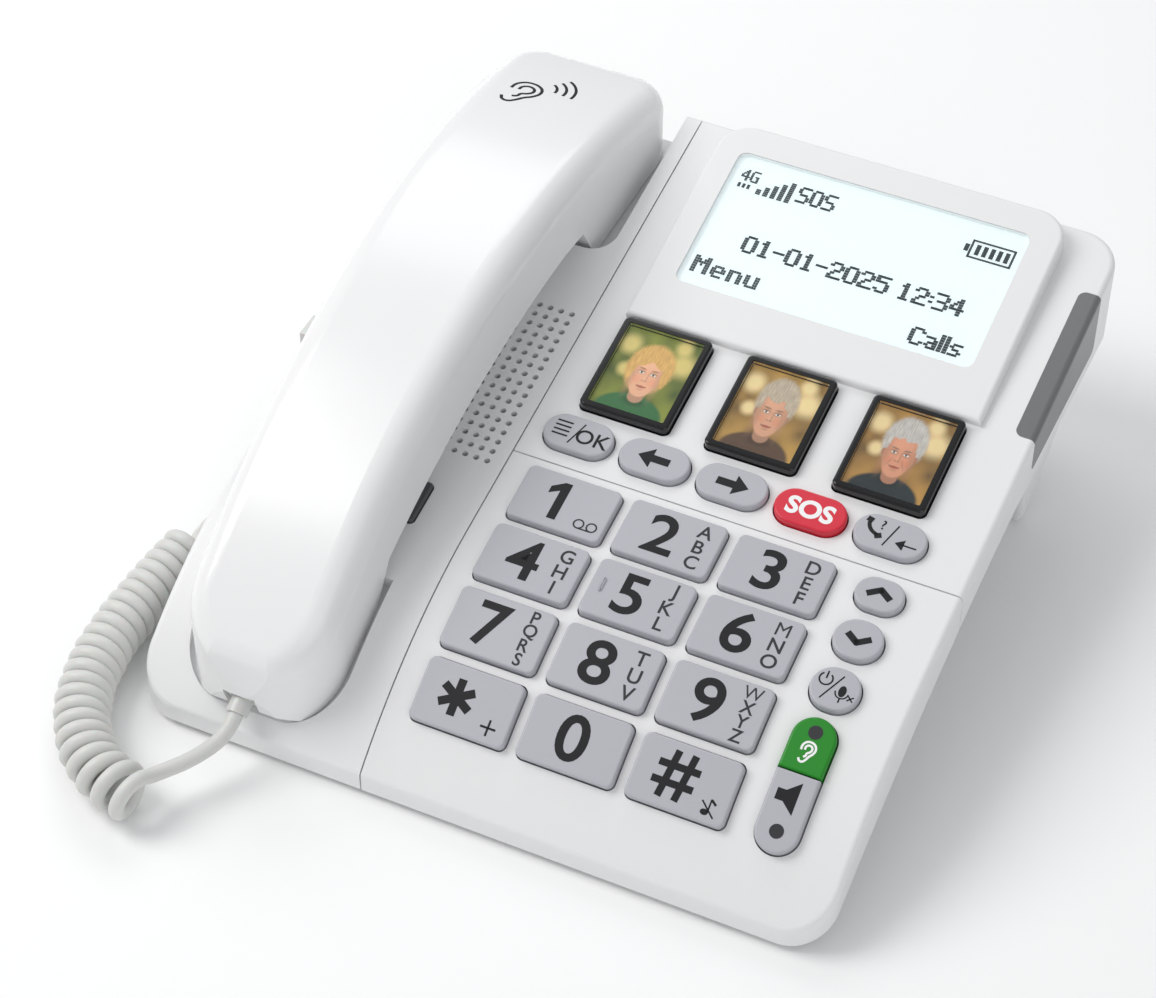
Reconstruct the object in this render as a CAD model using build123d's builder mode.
"""Corded desk telephone with picture keys: base, handset and curly cord.

Frame: X to the right of the user, Y away from the user, Z up, in millimetres.
The origin is on the table, under the middle of the telephone.
"""
from build123d import *
from math import atan2, cos, pi, radians, sin, tan
import os

os.makedirs("parts", exist_ok=True)

# ---------------------------------------------------------------- base
base_width = 181.0
base_depth = 203.0
wall = 2.0                   # wall of every moulded cover
seam_gap = 0.4               # groove between two covers
crease_height = 35.3         # height of the top face where it starts to curve down
crease_reach = 59.5          # distance of that line behind the front edge
back_slope = 9.2             # slope of the flat part of the top face, degrees
front_curve_radius = 118.0   # curve of the top face in front of the crease
joint_front_height = 1.6     # joint line of covers and bottom case at the front edge
joint_middle = (55.1, 21.3)  # the joint line passes here: (from the front, height)
joint_rear_reach = 124.1     # from here back the joint line is level
joint_height = 33.1
corner_radius = 11.0         # upright corners of the base
rim_radius = 1.5             # rounding along the top edges
cradle_width = 62.8          # cradle cover, at the left
keypad_depth = 85.0          # keypad cover, from the front edge
case_inset = 1.6             # bottom case stands in from the covers
case_drop = 3.0              # and shows below them
case_floor = 1.8
front_taper = 0.33           # the bottom case thins to this share at the front edge
foot_radius = 6.0
foot_inset = (22.0, 15.0)    # front feet, from the side and from the front
stand_start = 149.6          # rear stand, from the front edge
stand_sole = 8.0
stand_length = 36.0
stand_side_gap = 4.5
pad_thickness = 1.0

# ---------------------------------------------------------------- keys
key_size = (25.0, 16.2)
key_pitch = (28.0, 18.9)
key_columns_x = 19.6         # middle column
first_row_run = 14.6         # top row, behind the crease along the face
key_corner = 1.8
key_rise = 2.0
key_gap = 0.35               # clearance of each cap in its window
key_travel = 1.0
flange_top = 2.8             # below the top face
flange_thickness = 0.9
flange_rim = 0.8
function_size = (18.3, 10.4)
function_pitch = 20.6
function_x = -13.9           # leftmost of the row of five
function_run = 35.0
side_x = 72.3                # column of keys at the right
side_size = (12.2, 11.2)
side_runs = {"up": 18.3, "down": 4.6, "power": -9.7}
pill_width = 10.8
pill_top_run = -17.7
pill_split_run = -31.9
pill_bottom_run = -51.3
pill_gap = 0.15              # between its two halves
photo_size = (24.1, 30.1)
photo_pitch = 33.8
photo_x = -6.0
photo_run = 58.8
photo_rise = 2.6

# ---------------------------------------------------------------- display
bezel_x = (-19.0, 76.6)
bezel_run = 74.9             # front edge of the raised display housing
bezel_length = 68.1
bezel_tilt = 12.1            # its face is steeper than the top face
bezel_lip = 2.2              # its height at the front edge
bezel_corner = 9.0
window_x = (-11.8, 68.7)
window_start = 14.1
window_length = 44.9
window_corner = 2.5
window_thickness = 1.1

# ---------------------------------------------------------------- lamp
lamp_start = 134.4           # from the front edge
lamp_end = 183.1
lamp_reach = 5.6             # in from the right edge
lamp_low = 36.6              # height of its lower edge
lamp_corner = 2.2

# ---------------------------------------------------------------- cradle
cradle_inset = 30.5          # middle of the handset and of both wells, from the left edge
ear_well_width = 55.8
ear_well_start = 150.6       # from the front edge
ear_well_floor = 43.0        # height of the floor at its front
ear_well_slope = 4.8
mouth_well_width = 43.0
mouth_well_start = 4.0
mouth_well_end = 40.6
mouth_well_floor = 9.7
mouth_well_slope = 25.6
hook_size = (12.0, 12.4)
hook_offset = 13.0           # from the middle of the cradle
hook_run = 2.5
hook_gap = 0.3
hook_rise = 1.2              # above the top face while the handset presses it
hook_travel = 4.0
grille_pitch = (3.03, 3.14)
grille_hole_radius = 0.8
grille_columns = 9
grille_rows = 17
grille_offset = 27.7         # its right column, from the middle of the cradle
grille_run = 45.6            # middle row

# ---------------------------------------------------------------- sockets
jack_y = 2.0                 # socket for the curly cord, in the left wall
jack_z = 35.7
jack_width = 8.4
jack_height = 7.4
charge_x = 30.0              # socket for the charger, in the back wall
charge_z = 40.0
charge_width = 9.6
charge_height = 7.0

# ---------------------------------------------------------------- handset
handset_width_mouth = 39.0
handset_width_grip = 41.0
handset_width_ear = 48.0
handset_wall = 1.8
handset_front = 0.6          # front end, from the front edge of the base
handset_back = 205.6
handset_edge = 7.0           # rounding along the crown's edges
lobe_round = 5.0             # rounding of the lobes' lower corners towards the grip
cradle_clearance = 0.5


front = -handset_back / 2
back = front + base_depth
left = -base_width / 2
right = base_width / 2
seam_x = left + cradle_width
cradle_x = left + cradle_inset
hook_x = cradle_x + hook_offset
grille_right_x = cradle_x + grille_offset
seam_y = front + keypad_depth
crease_y = front + crease_reach
slope = radians(back_slope)
curve_y = crease_y + front_curve_radius * sin(slope)
curve_z = crease_height - front_curve_radius * cos(slope)


def top_height(y, drop=0.0):
    """Height of the top face at y, or of the face lying `drop` under it."""
    if y >= crease_y + drop * sin(slope):
        return crease_height - drop / cos(slope) + (y - crease_y) * tan(slope)
    reach = front_curve_radius - drop
    return curve_z + (reach ** 2 - (curve_y - y) ** 2) ** 0.5


def on_top(run, lift=0.0):
    """Y, Z and tilt of the top face, `run` behind the crease along the face."""
    if run >= 0:
        tilt = slope
        y = crease_y + run * cos(slope)
        z = crease_height + run * sin(slope)
    else:
        tilt = slope - run / front_curve_radius
        y = curve_y - front_curve_radius * sin(tilt)
        z = curve_z + front_curve_radius * cos(tilt)
    return y - lift * sin(tilt), z + lift * cos(tilt), tilt


def face_plane(x, run, lift=0.0):
    """Plane on the top face: its X to the right, its Y up the slope, its Z outward."""
    y, z, tilt = on_top(run, lift)
    return Plane(origin=(x, y, z), x_dir=(1, 0, 0), z_dir=(0, -sin(tilt), cos(tilt)))


def save(part, label):
    part.label = label
    export_step(part, f"parts/{label}.step")


def base_view(drop, low_drop, inset):
    """Side view of the base between its top face and the joint line, each moved down."""
    start_y = front + inset
    end_y = back - inset
    crease = crease_y + drop * sin(slope)
    reach = front_curve_radius - drop
    front_tilt = atan2(curve_y - start_y, top_height(start_y, drop) - curve_z)
    middle = (slope + front_tilt) / 2
    start = (start_y, top_height(start_y, drop))
    bulge = (curve_y - reach * sin(middle), curve_z + reach * cos(middle))
    bend = (crease, top_height(crease, drop))
    rear = (end_y, top_height(end_y, drop))
    low_rear = (end_y, joint_height - low_drop)
    low_bend = (front + joint_rear_reach, joint_height - low_drop)
    low_middle = (front + joint_middle[0], joint_middle[1] - low_drop)
    low_front = (start_y, joint_front_height - low_drop * front_taper)
    with BuildSketch() as view:
        with BuildLine():
            ThreePointArc(start, bulge, bend)
            Polyline(bend, rear, low_rear, low_bend)
            ThreePointArc(low_bend, low_middle, low_front)
            Line(low_front, start)
        make_face()
    return view.sketch


def base_slab(drop, low_drop, inset, rim):
    """The base as one solid, from which covers and hollows are cut."""
    with BuildPart() as slab:
        with BuildSketch(Plane.YZ):
            add(base_view(drop, low_drop, inset))
        extrude(amount=base_width / 2 - inset, both=True)
        with BuildSketch(Plane.XY):
            with Locations((0, (front + back) / 2)):
                RectangleRounded(base_width - 2 * inset, base_depth - 2 * inset, corner_radius - inset)
        extrude(amount=3 * crease_height, mode=Mode.INTERSECT)
        if rim > 0:
            low = slab.faces().filter_by(lambda f: f.normal_at().Z < -0.3)
            high = slab.faces().filter_by(lambda f: f.normal_at().Z > 0.3)
            crease = slab.edges().filter_by(Axis.X).filter_by(lambda e: abs(e.center().Y - crease_y) < 1)
            fillet(high.edges() - low.edges() - crease, rim)
    return slab.part


outer = base_slab(0.0, 0.0, 0.0, rim_radius)
inner = base_slab(wall, 4.0, wall, 0.0)


def well(width, start_y, end_y, floor, tilt, front_corner, back_corner, grow):
    """Pocket in the cradle cover with a sloping floor; `grow` makes the block around it."""
    length = end_y - start_y
    middle = (start_y + end_y) / 2
    middle_z = floor + (middle - start_y) * tan(radians(tilt))
    plane = Plane(origin=(cradle_x, middle, middle_z - grow), x_dir=(1, 0, 0), z_dir=(0, 0, 1))
    with BuildPart() as pocket:
        with BuildSketch(plane.offset(-30)) as pocket_corners:
            Rectangle(width + 2 * grow, length + 2 * grow)
            corners = pocket_corners.vertices().group_by(Axis.Y)
            fillet(corners[0], front_corner + grow)
            fillet(corners[-1], back_corner + grow)
        extrude(amount=90)
        with BuildSketch(Plane.YZ.offset(cradle_x)):
            with BuildLine():
                low = (start_y - 60, floor - grow - 60 * tan(radians(tilt)))
                high = (end_y + 60, floor - grow + (length + 60) * tan(radians(tilt)))
                Polyline(low, high, (high[0], 140), (low[0], 140), low)
            make_face()
        extrude(amount=base_width, both=True, mode=Mode.INTERSECT)
    return pocket.part


ear_start = front + ear_well_start
ear_end = back + 30
mouth_start = front + mouth_well_start
mouth_end = front + mouth_well_end
wells = []
blocks = []
for grow, group in ((0.0, wells), (wall, blocks)):
    group.append(well(ear_well_width, ear_start, ear_end, ear_well_floor, ear_well_slope, 7.0, 7.0, grow))
    group.append(well(mouth_well_width, mouth_start, mouth_end, mouth_well_floor, mouth_well_slope,
                      14.0, 16.0, grow))

with BuildPart() as bowls:
    for block in blocks:
        add(block)
    add(outer, mode=Mode.INTERSECT)


def pill_key(top_run, bottom_run, round_top, grow, low, high):
    """Half of the long key at the right: one end round, the other straight."""
    length = top_run - bottom_run
    half = pill_width / 2
    shift = half / 2 if round_top else -half / 2
    end = length / 2 - half
    with BuildPart() as half_pill:
        with BuildSketch(face_plane(side_x, (top_run + bottom_run) / 2, low)):
            with Locations((0, -shift)):
                Rectangle(pill_width + 2 * grow, length - half + 2 * grow)
            with Locations((0, end if round_top else -end)):
                Circle(half + grow)
        extrude(amount=high - low)
    return half_pill.part


def round_pocket(x, run, size, corner, grow, low, high):
    """Prism on the top face, from `low` to `high` along its normal."""
    with BuildPart() as prism:
        with BuildSketch(face_plane(x, run, low)):
            RectangleRounded(size[0] + 2 * grow, size[1] + 2 * grow, max(corner + grow, 0.4))
        extrude(amount=high - low)
    return prism.part


key_names = [["1", "2", "3"], ["4", "5", "6"], ["7", "8", "9"], ["star", "0", "hash"]]
keys = {}
for row, names in enumerate(key_names):
    for column, name in enumerate(names):
        x = key_columns_x + (column - 1) * key_pitch[0]
        keys[f"key_{name}"] = (x, first_row_run - row * key_pitch[1], key_size, key_corner, key_rise)
for column, name in enumerate(["menu", "left", "right", "sos", "redial"]):
    x = function_x + column * function_pitch
    keys[f"key_{name}"] = (x, function_run, function_size, function_size[1] / 2 - 0.1, key_rise)
for name, run in side_runs.items():
    size = (side_size[0], 9.4) if name == "up" else side_size
    keys[f"key_{name}"] = (side_x, run, size, size[1] / 2 - 0.1, key_rise)
for column in range(3):
    x = photo_x + column * photo_pitch
    keys[f"photo_key_{column + 1}"] = (x, photo_run, photo_size, 1.6, photo_rise)

pills = {"key_amplify": (pill_top_run, pill_split_run, True),
         "key_speaker": (pill_split_run, pill_bottom_run, False)}
through = wall + 2.0
flange_low = -flange_top - flange_thickness

# ---- display housing: a wedge on the top face ---------------------------
lip_y, lip_z = on_top(bezel_run, bezel_lip)[:2]
bezel_middle = (bezel_x[0] + bezel_x[1]) / 2
bezel_width = bezel_x[1] - bezel_x[0]
window_middle = (window_x[0] + window_x[1]) / 2
window_width = window_x[1] - window_x[0]
bezel_slope = radians(bezel_tilt)
module_rim = 3.0
module_thickness = 4.0
bezel_skin = 1.5


def bezel_plane(x, along, depth):
    """Plane parallel to the display's face, `depth` under it."""
    y = lip_y + along * cos(bezel_slope) + depth * sin(bezel_slope)
    z = lip_z + along * sin(bezel_slope) - depth * cos(bezel_slope)
    return Plane(origin=(x, y, z), x_dir=(1, 0, 0), z_dir=(0, -sin(bezel_slope), cos(bezel_slope)))


def display_block(grow, depth, thickness, corner):
    """Flat block under the display's face, as large as the window and `grow` all round."""
    with BuildPart() as block:
        with BuildSketch(bezel_plane(window_middle, window_start + window_length / 2, depth + thickness)):
            RectangleRounded(window_width + 2 * grow, window_length + 2 * grow, corner)
        extrude(amount=thickness)
    return block.part


with BuildPart() as wedge:
    with BuildSketch(bezel_plane(bezel_middle, bezel_length / 2, 0)):
        Rectangle(bezel_width, bezel_length)
    extrude(amount=-16)
    uprights = wedge.edges().filter_by(lambda e: abs(e.tangent_at(0.5).Z) > 0.9)
    fillet(uprights.group_by(Axis.Y)[-1], bezel_corner)
    add(outer, mode=Mode.SUBTRACT)
with BuildPart() as display_bezel:
    add(wedge.solids().sort_by(Axis.Z)[-1])
    face = display_bezel.faces().sort_by(lambda f: f.normal_at().Z)[-1]
    fillet(face.edges(), 1.2)
    add(display_block(module_rim + 0.3, bezel_skin, 14, 1.0), mode=Mode.SUBTRACT)
    add(display_block(0.05, -1, 14, window_corner), mode=Mode.SUBTRACT)
save(display_bezel.part, "display_bezel")

with BuildPart() as lcd_window:
    add(display_block(0.0, 0.3, window_thickness, window_corner))
save(lcd_window.part, "lcd_window")

with BuildPart() as lcd_module:
    add(display_block(module_rim, bezel_skin, module_thickness, 0.8))
save(lcd_module.part, "lcd_module")

# ---- keys ----------------------------------------------------------------
rim_round = 0.6
photo_border = 1.7
photo_recess = 1.5
photo_cover_thickness = 0.8
photo_cover_depth = 0.2      # its face lies this far under the frame's rim
photo_cover_gap = 0.1

for label, (x, run, size, corner, rise) in keys.items():
    with BuildPart() as key:
        add(round_pocket(x, run, size, corner, 0.0, flange_low, rise))
        top = key.faces().sort_by(lambda f: f.normal_at().Z)[-1]
        fillet(top.edges(), rim_round)
        add(round_pocket(x, run, size, corner, flange_rim, flange_low, -flange_top))
        if label.startswith("photo"):
            add(round_pocket(x, run, size, corner, -photo_border, rise - photo_recess, rise + 1),
                mode=Mode.SUBTRACT)
    save(key.part, label)
    if label.startswith("photo"):
        with BuildPart() as photo_cover:
            add(round_pocket(x, run, size, corner, -photo_border - photo_cover_gap,
                             rise - photo_cover_depth - photo_cover_thickness, rise - photo_cover_depth))
        save(photo_cover.part, label.replace("key", "cover"))

for label, (top_run, bottom_run, round_top) in pills.items():
    with BuildPart() as key:
        add(pill_key(top_run, bottom_run, round_top, 0.0, flange_low, key_rise))
        with BuildSketch(face_plane(side_x, pill_split_run)):
            with Locations((0, (20 + pill_gap) * (1 if round_top else -1))):
                Rectangle(40, 40)
        extrude(amount=10, both=True, mode=Mode.INTERSECT)
        top = key.faces().sort_by(lambda f: f.normal_at().Z)[-1]
        fillet(top.edges(), rim_round)
        middle = (top_run + bottom_run) / 2
        straight = top_run - bottom_run - pill_width / 2 - 2 * flange_rim
        with BuildSketch(face_plane(side_x, middle, flange_low)):
            with Locations((0, (-1 if round_top else 1) * pill_width / 4)):
                Rectangle(pill_width + 2 * flange_rim, straight)
        extrude(amount=flange_thickness)
    save(key.part, label)

# ---- inside the base -----------------------------------------------------
mat_drop = flange_top + flange_thickness + key_travel + 0.4
mat_thickness = 1.0
flex_thickness = 0.5
board_thickness = 1.6


def layer(drop, thickness, start, end, span, label):
    """Sheet that follows the top face, `drop` under it, between two runs."""
    start_y = on_top(start)[0]
    end_y = on_top(end)[0]
    with BuildPart() as sheet:
        with BuildSketch(Plane.YZ.offset(span[0])):
            with BuildLine():
                for depth in (drop, drop + thickness):
                    crease = (crease_y, top_height(crease_y, depth))
                    last = (end_y, top_height(end_y, depth))
                    first = (start_y, top_height(start_y, depth))
                    half = (start_y + crease_y) / 2
                    if start < 0 < end:
                        ThreePointArc(first, (half, top_height(half, depth)), crease)
                        Line(crease, last)
                    elif start < 0:
                        half = (start_y + end_y) / 2
                        ThreePointArc(first, (half, top_height(half, depth)), last)
                    else:
                        Line(first, last)
                for y in (start_y, end_y):
                    Line((y, top_height(y, drop)), (y, top_height(y, drop + thickness)))
            make_face()
        extrude(amount=span[1] - span[0])
    save(sheet.part, label)
    return sheet.part


board_span = (seam_x + 4, right - 8)
layer(mat_drop, mat_thickness, -57.0, 74.0, board_span, "key_mat")
layer(mat_drop + mat_thickness, flex_thickness, -57.0, -1.0, board_span, "keypad_flex")
layer(mat_drop + mat_thickness, board_thickness, 0.0, 140.0, board_span, "main_board")

speaker_radius = 20.0
grille_x = grille_right_x - (grille_columns - 1) * grille_pitch[0] / 2
with BuildPart() as loudspeaker:
    with BuildSketch(face_plane(grille_x, grille_run, -wall - 0.3)):
        Circle(speaker_radius)
    extrude(amount=-2.5)
    with BuildSketch(face_plane(grille_x, grille_run, -wall - 2.8)):
        Circle(speaker_radius * 0.55)
    extrude(amount=-5.0)
save(loudspeaker.part, "loudspeaker")

plunger_low = -wall - hook_travel - 1.6
with BuildPart() as hook_plunger:
    add(round_pocket(hook_x, hook_run, hook_size, 0.9, 0.0, plunger_low, hook_rise))
    fillet(hook_plunger.faces().sort_by(lambda f: f.normal_at().Z)[-1].edges(), 0.6)
    add(round_pocket(hook_x, hook_run, hook_size, 0.9, 1.2, plunger_low, plunger_low + 1.2))
save(hook_plunger.part, "hook_plunger")

with BuildPart() as hook_switch:
    add(round_pocket(hook_x, hook_run, (12.0, 6.0), 0.4, 0.0, plunger_low - 4.2, plunger_low - 0.3))
save(hook_switch.part, "hook_switch")

# ---- bottom case, stand and feet -----------------------------------------
with BuildPart() as tray:
    add(base_slab(0.5, case_drop, case_inset, 0.0))
    add(outer, mode=Mode.SUBTRACT)
tray_outer = tray.part
case_under = joint_height - case_drop
stand_half = right - stand_side_gap
battery_size = (50.0, 30.0, 5.5)
battery_x = 25.0
battery_y = front + stand_start + stand_length / 2
door_size = (56.0, 26.0)

with BuildPart() as bottom_case:
    add(tray_outer)
    add(base_slab(0.0, case_drop - case_floor, case_inset + wall, 0.0), mode=Mode.SUBTRACT)
    with Locations((battery_x, battery_y, case_under)):
        Box(door_size[0] + 0.4, door_size[1] + 0.4, 3 * case_floor, mode=Mode.SUBTRACT)
save(bottom_case.part, "bottom_case")

with BuildPart() as battery_door:
    with Locations((battery_x, battery_y, case_under + case_floor / 2)):
        Box(door_size[0], door_size[1], case_floor)
save(battery_door.part, "battery_door")

with BuildPart() as battery_pack:
    with Locations((battery_x, battery_y, case_under + case_floor + 0.2 + battery_size[2] / 2)):
        Box(*battery_size)
    fillet(battery_pack.edges().filter_by(Axis.X), 1.5)
save(battery_pack.part, "battery_pack")

with BuildPart() as sim_holder:
    with Locations((battery_x - 42, battery_y, case_under + case_floor + 1.4)):
        Box(17.0, 19.0, 2.4)
        with Locations((2, 0, 0.2)):
            Box(15.0, 12.5, 1.0, mode=Mode.SUBTRACT)
save(sim_holder.part, "sim_holder")

stand_points = [(0, case_under), (2, pad_thickness), (stand_sole, pad_thickness),
                (stand_length - 2, 15.0), (stand_length, case_under)]
with BuildPart() as rear_stand:
    with BuildSketch(Plane.YZ):
        with BuildLine():
            Polyline(*[(front + stand_start + d, z) for d, z in stand_points], close=True)
        make_face()
    extrude(amount=stand_half, both=True)
    fillet(rear_stand.edges().filter_by(lambda e: abs(e.tangent_at(0.5).X) < 0.5 and e.center().Z < 27), 2.0)
    with BuildSketch(Plane.YZ):
        with BuildLine():
            Polyline(*[(front + stand_start + d, z) for d, z in
                       [(wall, case_under + 1), (wall + 2, pad_thickness + wall), (stand_sole, pad_thickness + wall),
                        (stand_length - 2 - wall, 17.0), (stand_length - wall, case_under + 1)]], close=True)
        make_face()
    extrude(amount=stand_half - wall, both=True, mode=Mode.SUBTRACT)
save(rear_stand.part, "rear_stand")

with BuildPart() as rubber_feet:
    for side in (-1, 1):
        with BuildSketch(Plane.XY):
            with Locations((side * (right - foot_inset[0]), front + foot_inset[1])):
                Circle(foot_radius)
        extrude(amount=12)
        with BuildSketch(Plane.XY):
            with Locations((side * (stand_half - 16), front + stand_start + 5)):
                Rectangle(16, 4.5)
        extrude(amount=pad_thickness)
    add(tray_outer, mode=Mode.SUBTRACT)
    keep = rubber_feet.solids().filter_by(lambda f: f.bounding_box().min.Z < 0.01)
with BuildPart() as rubber_feet:
    add(keep)
save(rubber_feet.part, "rubber_feet")

# ---- sockets in the base -------------------------------------------------
with BuildPart() as base_jack:
    with Locations((left + 12, jack_y, jack_z)):
        Box(16, 11.4, 8.2)
        with Locations((-3, 0, 0)):
            Box(14, jack_width - 0.6, jack_height - 0.6, mode=Mode.SUBTRACT)
    add(inner, mode=Mode.INTERSECT)
save(base_jack.part, "base_jack")

with BuildPart() as charging_socket:
    with Locations((charge_x, back - 7, charge_z)):
        Box(charge_width + 2, 10, charge_height + 2)
        with Locations((0, 3, 0)):
            Box(charge_width - 0.6, 10, charge_height - 0.6, mode=Mode.SUBTRACT)
    add(inner, mode=Mode.INTERSECT)
save(charging_socket.part, "charging_socket")

# ---- the three covers ---------------------------------------------------
with BuildPart() as lamp_zone:
    with BuildSketch(Plane.XY.offset(lamp_low)):
        with Locations((right - lamp_reach / 2 + 5, front + (lamp_start + lamp_end) / 2)):
            Rectangle(lamp_reach + 10, lamp_end - lamp_start)
    extrude(amount=60)
    fillet(lamp_zone.edges().filter_by(Axis.Z), lamp_corner)
    fillet(lamp_zone.faces().sort_by(Axis.Z)[0].edges().filter_by(Axis.X), lamp_corner)

with BuildPart() as covers:
    add(outer)
    add(inner, mode=Mode.SUBTRACT)
    add(bowls.part)
    for pocket in wells:
        add(pocket, mode=Mode.SUBTRACT)
    for x, run, size, corner, rise in keys.values():
        add(round_pocket(x, run, size, corner, key_gap, -through, 3.0), mode=Mode.SUBTRACT)
    for top_run, bottom_run, round_top in pills.values():
        add(pill_key(top_run, bottom_run, round_top, key_gap, -through, 3.0), mode=Mode.SUBTRACT)
    add(round_pocket(hook_x, hook_run, hook_size, 1.2, hook_gap, -through, 3.0), mode=Mode.SUBTRACT)
    add(display_block(module_rim + 0.5, 0, 16, 1.0), mode=Mode.SUBTRACT)
    add(lamp_zone.part, mode=Mode.SUBTRACT)
    with BuildSketch(face_plane(grille_x, grille_run, -through)):
        with GridLocations(grille_pitch[0], grille_pitch[1], grille_columns, grille_rows):
            Circle(grille_hole_radius)
    extrude(amount=through + 2, mode=Mode.SUBTRACT)
    with Locations((left, jack_y, jack_z)):
        Box(3 * wall, jack_width, jack_height, mode=Mode.SUBTRACT)
    with Locations((charge_x, back, charge_z)):
        Box(charge_width, 3 * wall, charge_height, mode=Mode.SUBTRACT)

seam = seam_gap / 2
zones = {"cradle_cover": ((left, seam_x - seam), (front, back)),
         "keypad_cover": ((seam_x + seam, right), (front, seam_y - seam)),
         "display_cover": ((seam_x + seam, right), (seam_y + seam, back))}
for label, (span_x, span_y) in zones.items():
    with BuildPart() as cover:
        add(covers.part)
        with Locations(((span_x[0] + span_x[1]) / 2, (span_y[0] + span_y[1]) / 2, 0)):
            Box(span_x[1] - span_x[0], span_y[1] - span_y[0], 300, mode=Mode.INTERSECT)
    print(label, len(cover.part.solids()), round(cover.part.volume))
    save(cover.part, label)

with BuildPart() as ring_lamp_lens:
    add(outer)
    add(inner, mode=Mode.SUBTRACT)
    add(lamp_zone.part, mode=Mode.INTERSECT)
save(ring_lamp_lens.part, "ring_lamp_lens")

# ---- handset --------------------------------------------------------------
seam_arc = [(207.1, 55.0), (130.1, 60.0), (-2.9, 19.5)]
crown_arc = [(205.1, 65.5), (120.1, 77.6), (2.6, 32.0)]
grip_arc = [(138.6, 56.6), (89.6, 50.6), (42.6, 35.5)]
mouth_bottom = [(35.6, mouth_well_floor + 31.6 * tan(radians(mouth_well_slope)) + cradle_clearance),
                (6.0, mouth_well_floor + 2.0 * tan(radians(mouth_well_slope)) + cradle_clearance)]
ear_rise = tan(radians(ear_well_slope))
ear_bottom = [(204.1, ear_well_floor + (204.1 - ear_well_start) * ear_rise + cradle_clearance),
              (155.6, ear_well_floor + (155.6 - ear_well_start) * ear_rise + cradle_clearance)]
nose = [(2.4, 13.6), (handset_front, 19.5)]
heel = (handset_back, 53.0)
widths = [(handset_front, handset_width_mouth), (101.6, handset_width_grip), (handset_back, handset_width_ear)]


def from_front(points):
    return [(front + d, z) for d, z in points]


def handset_body(inset, edge):
    """Handset as one solid, or the hollow within it when `inset` is its wall."""
    with BuildSketch() as view:
        with BuildLine():
            ThreePointArc(*from_front(crown_arc))
            Polyline(*from_front([crown_arc[2], nose[1], nose[0], mouth_bottom[1], mouth_bottom[0], grip_arc[2]]))
            ThreePointArc(*from_front(grip_arc[::-1]))
            Polyline(*from_front([grip_arc[0], (149.1, 56.0), ear_bottom[1], ear_bottom[0], heel, crown_arc[0]]))
        make_face()
        for reach, height in (ear_bottom[1], mouth_bottom[0]):
            fillet(view.vertices().sort_by_distance((front + reach, height, 0))[0], lobe_round)
        if inset > 0:
            offset(amount=-inset, mode=Mode.REPLACE)
    with BuildSketch() as plan:
        with BuildLine():
            sides = [[(cradle_x + side * w / 2, front + d) for d, w in widths] for side in (-1, 1)]
            ThreePointArc(*sides[0])
            ThreePointArc(*sides[1])
            Line(sides[0][0], sides[1][0])
            Line(sides[0][2], sides[1][2])
        make_face()
        fillet(plan.vertices().group_by(Axis.Y)[0], 18.5)
        fillet(plan.vertices().group_by(Axis.Y)[-1], 12.0)
        if inset > 0:
            offset(amount=-inset, mode=Mode.REPLACE)
    with BuildPart() as body:
        with BuildSketch(Plane.YZ.offset(cradle_x)):
            add(view.sketch)
        extrude(amount=handset_width_ear, both=True)
        with BuildSketch(Plane.XY):
            add(plan.sketch)
        extrude(amount=150, mode=Mode.INTERSECT)
        if edge > 0:
            crown = body.faces().sort_by(Axis.Z)[-1]
            fillet(crown.edges(), edge)
    return body.part


handset_outer = handset_body(0.0, handset_edge)
handset_inner = handset_body(handset_wall, handset_edge - handset_wall)
lobe_tilt = radians(ear_well_slope)
receiver_reach = 180.0
receiver_y = front + receiver_reach
receiver_floor = ear_well_floor + (receiver_reach - ear_well_start) * ear_rise + cradle_clearance
receiver_plane = Plane(origin=(cradle_x, receiver_y, receiver_floor), x_dir=(1, 0, 0),
                       z_dir=(0, -sin(lobe_tilt), cos(lobe_tilt)))
microphone_reach = 26.0
microphone_y = front + microphone_reach
microphone_floor = mouth_well_floor + (microphone_reach - mouth_well_start) * tan(radians(mouth_well_slope)) + cradle_clearance
mouth_tilt = radians(mouth_well_slope)
microphone_plane = Plane(origin=(cradle_x, microphone_y, microphone_floor), x_dir=(1, 0, 0),
                         z_dir=(0, -sin(mouth_tilt), cos(mouth_tilt)))
plug_size = (7.6, 9.0, 6.4)
plug_start = (2.5, 16.2)     # outer face of the handset's plug: (from the front, height)
plug_clearance = 0.15
boot_radius = 2.7
boot_length = 4.0
plug_out = Vector(0, -cos(mouth_tilt), -sin(mouth_tilt))
plug_face = Plane(origin=(cradle_x, front + plug_start[0], plug_start[1]), x_dir=(1, 0, 0), z_dir=plug_out)

with BuildPart() as below_seam:
    with BuildSketch(Plane.YZ.offset(cradle_x)):
        with BuildLine():
            seam_line = from_front(seam_arc)
            ThreePointArc(*seam_line)
            Polyline(seam_line[2], (seam_line[2][0] - 20, -20), (seam_line[0][0] + 20, -20), seam_line[0])
        make_face()
    extrude(amount=handset_width_ear, both=True)

with BuildPart() as shell:
    add(handset_outer)
    add(handset_inner, mode=Mode.SUBTRACT)
    with BuildSketch(plug_face.offset(-5)):
        Rectangle(plug_size[0] + 1.0, plug_size[2] + 0.8)
    extrude(amount=12, mode=Mode.SUBTRACT)

with BuildPart() as handset_upper:
    add(shell.part)
    add(below_seam.part, mode=Mode.SUBTRACT)
save(handset_upper.part, "handset_upper")

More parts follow.
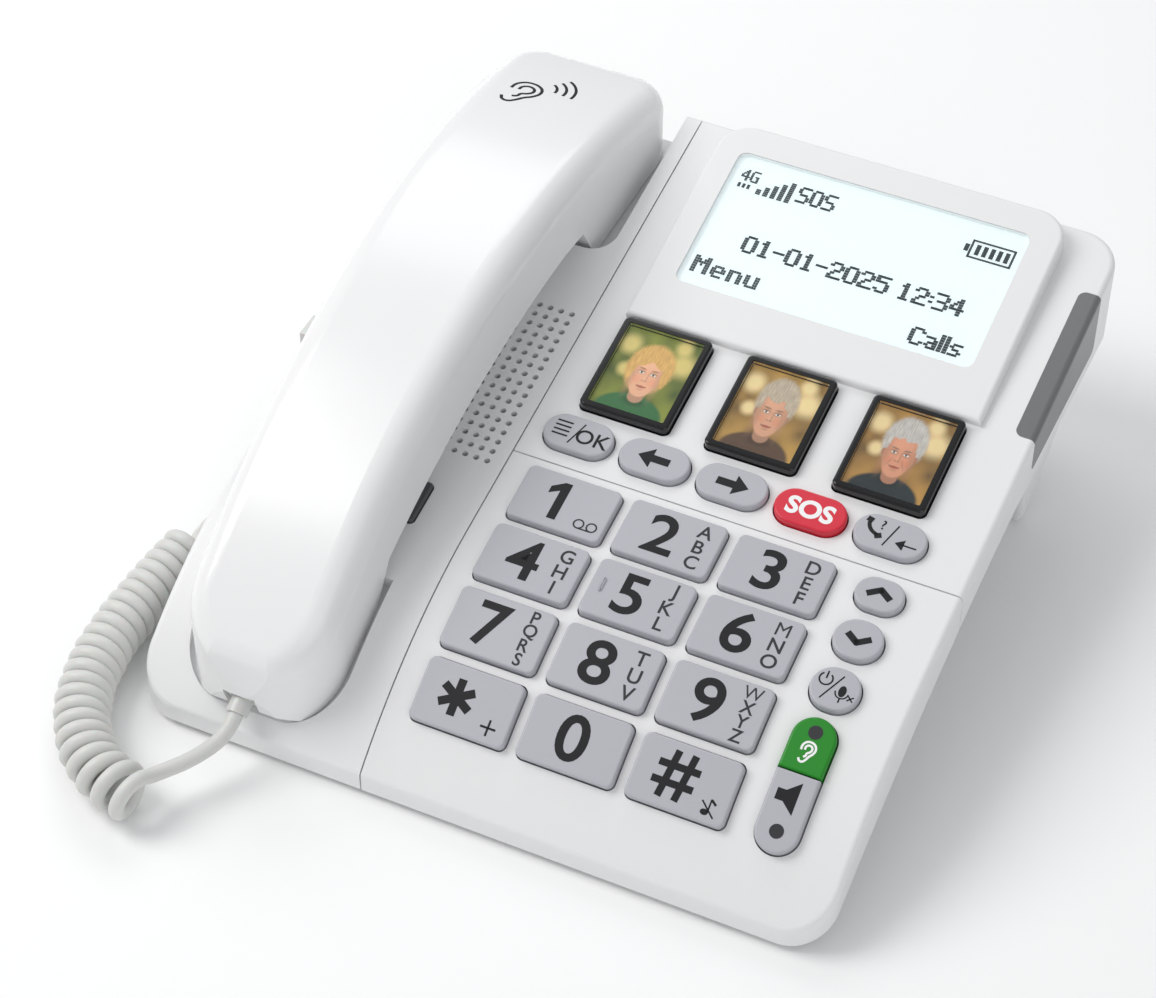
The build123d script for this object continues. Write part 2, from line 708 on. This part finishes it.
with BuildPart() as handset_lower:
    add(shell.part)
    add(below_seam.part, mode=Mode.INTERSECT)
    with BuildSketch(receiver_plane.offset(-2)):
        Circle(1.0)
        with PolarLocations(5.0, 6):
            Circle(1.0)
    extrude(amount=handset_wall + 4, mode=Mode.SUBTRACT)
    with BuildSketch(microphone_plane.offset(-2)):
        Circle(0.9)
    extrude(amount=handset_wall + 4, mode=Mode.SUBTRACT)
    with BuildPart(mode=Mode.PRIVATE) as rib:
        add(round_pocket(hook_x - 1, hook_run, (6.0, 6.0), 1.0, 0.0, hook_rise + 0.3, 16))
        add(handset_outer, mode=Mode.SUBTRACT)
    add(rib.solids().sort_by(Axis.Z)[0])
save(handset_lower.part, "handset_lower")

with BuildPart() as receiver_capsule:
    with BuildSketch(receiver_plane.offset(handset_wall + 0.1)):
        Circle(15.0)
    extrude(amount=4.5)
    with BuildSketch(receiver_plane.offset(handset_wall + 4.6)):
        Circle(11.0)
    extrude(amount=2.5)
save(receiver_capsule.part, "receiver_capsule")

with BuildPart() as microphone_capsule:
    with BuildSketch(microphone_plane.offset(handset_wall + 0.1)):
        Circle(4.8)
    extrude(amount=3.0)
save(microphone_capsule.part, "microphone_capsule")

with BuildPart() as handset_weight:
    with BuildSketch(Plane.YZ.offset(cradle_x)):
        with BuildLine():
            Polyline(*from_front([(85.0, 56.5), (125.0, 62.5), (125.0, 68.5), (85.0, 62.5)]), close=True)
        make_face()
    extrude(amount=9.0, both=True)
save(handset_weight.part, "handset_weight")

with BuildPart() as handset_jack:
    with BuildSketch(plug_face.offset(-plug_size[1] - 2)):
        Rectangle(11.0, 8.6)
    extrude(amount=plug_size[1])
    with BuildSketch(plug_face.offset(-plug_size[1] - plug_clearance)):
        Rectangle(plug_size[0] + 2 * plug_clearance, plug_size[2] + 2 * plug_clearance)
    extrude(amount=plug_size[1], mode=Mode.SUBTRACT)
    add(handset_inner, mode=Mode.INTERSECT)
save(handset_jack.part, "handset_jack")

print("handset", len(handset_upper.solids()), len(handset_lower.solids()), handset_outer.bounding_box())

# ---- curly cord -------------------------------------------------------------
wire_radius = 1.9
coil_radius = 7.2
wall_face = Plane(origin=(left - 0.5, jack_y, jack_z), x_dir=(0, 1, 0), z_dir=(-1, 0, 0))
boot_end = plug_face.origin + plug_out * boot_length
elbow_depth = 5.5            # the base's plug turns its cord down along the wall
elbow_length = 8.0
elbow_out = Vector(0, -0.6, -0.8)
elbow_face = Plane(origin=(left - 0.5 - elbow_depth / 2, jack_y, jack_z), x_dir=(1, 0, 0), z_dir=elbow_out)
elbow_end = elbow_face.origin + elbow_out * elbow_length


def cord_plug(face, head, exit_face, length, label):
    """Plug body reaching `head` out of its socket, and the strain relief that its cord leaves through."""
    with BuildPart() as plug:
        with BuildSketch(face.offset(head)):
            Rectangle(plug_size[0], plug_size[2])
        extrude(amount=-plug_size[1] - head)
        with BuildSketch(exit_face):
            Circle(boot_radius)
        extrude(amount=length)
    save(plug.part, label)
    return plug.part


handset_plug = cord_plug(plug_face, 0, plug_face, boot_length, "plug_handset")
wall_plug = cord_plug(wall_face, elbow_depth, elbow_face, elbow_length, "plug_base")

tail_start = boot_end + plug_out * 5.0
handset_tail_route = [(boot_end.X, boot_end.Y, boot_end.Z), (tail_start.X, tail_start.Y, tail_start.Z)]
handset_tail_route += [(cradle_x + x, y, z) for x, y, z in ((-2.6, -113.8, 10.6), (-6.0, -119.0, 9.8),
                                                            (-9.4, -123.4, 9.8), (-11.4, -126.6, 10.4))]
coil_route = [(left + x, y, 7.4) for x, y in ((21.0, -131.4), (11.0, -130.6), (1.5, -125.2), (-6.3, -116.2),
                                              (-11.1, -105.0), (-13.1, -92.0), (-13.1, -78.0), (-11.9, -65.0),
                                              (-11.1, -53.0))]
base_tail_route = [(elbow_end.X, elbow_end.Y, elbow_end.Z)]
base_tail_route += [(left + x, y, z) for x, y, z in ((-3.7, -12.6, 22.8), (-4.9, -19.4, 16.2), (-6.7, -27.6, 11.2),
                                                     (-8.7, -36.8, 8.6), (-10.5, -46.4, 7.4), (-10.9, -51.0, 7.4))]


def cord_tube(route, radius, label, meets):
    """Round tube along straight runs joined by the largest tangent arcs they allow."""
    points = [Vector(*point) for point in route]
    radii = []
    for before, point, after in zip(points, points[1:], points[2:]):
        turn = radians((point - before).get_angle(after - point))
        shorter = min((point - before).length, (after - point).length)
        radii.append(0.45 * shorter / tan(turn / 2))
    print(label, "radii", [round(r, 1) for r in radii])
    with BuildPart() as tube:
        with BuildLine() as line:
            FilletPolyline(*points, radius=radii)
        with BuildSketch(Plane(origin=line.line @ 0, z_dir=line.line % 0)):
            Circle(radius)
        sweep()
        for neighbour in meets:
            add(neighbour, mode=Mode.SUBTRACT)
    length = sum(edge.length for edge in line.edges())
    share = tube.part.volume / (pi * radius ** 2 * length)
    print(label, "length", round(length, 1), "volume share", round(share, 4))
    save(tube.part, label)
    return tube.part


coil = cord_tube(coil_route, coil_radius, "cord_coil", [])
cord_tube(handset_tail_route, wire_radius, "cord_tail_handset", [handset_plug, coil])
cord_tube(base_tail_route, wire_radius, "cord_tail_base", [wall_plug, coil])
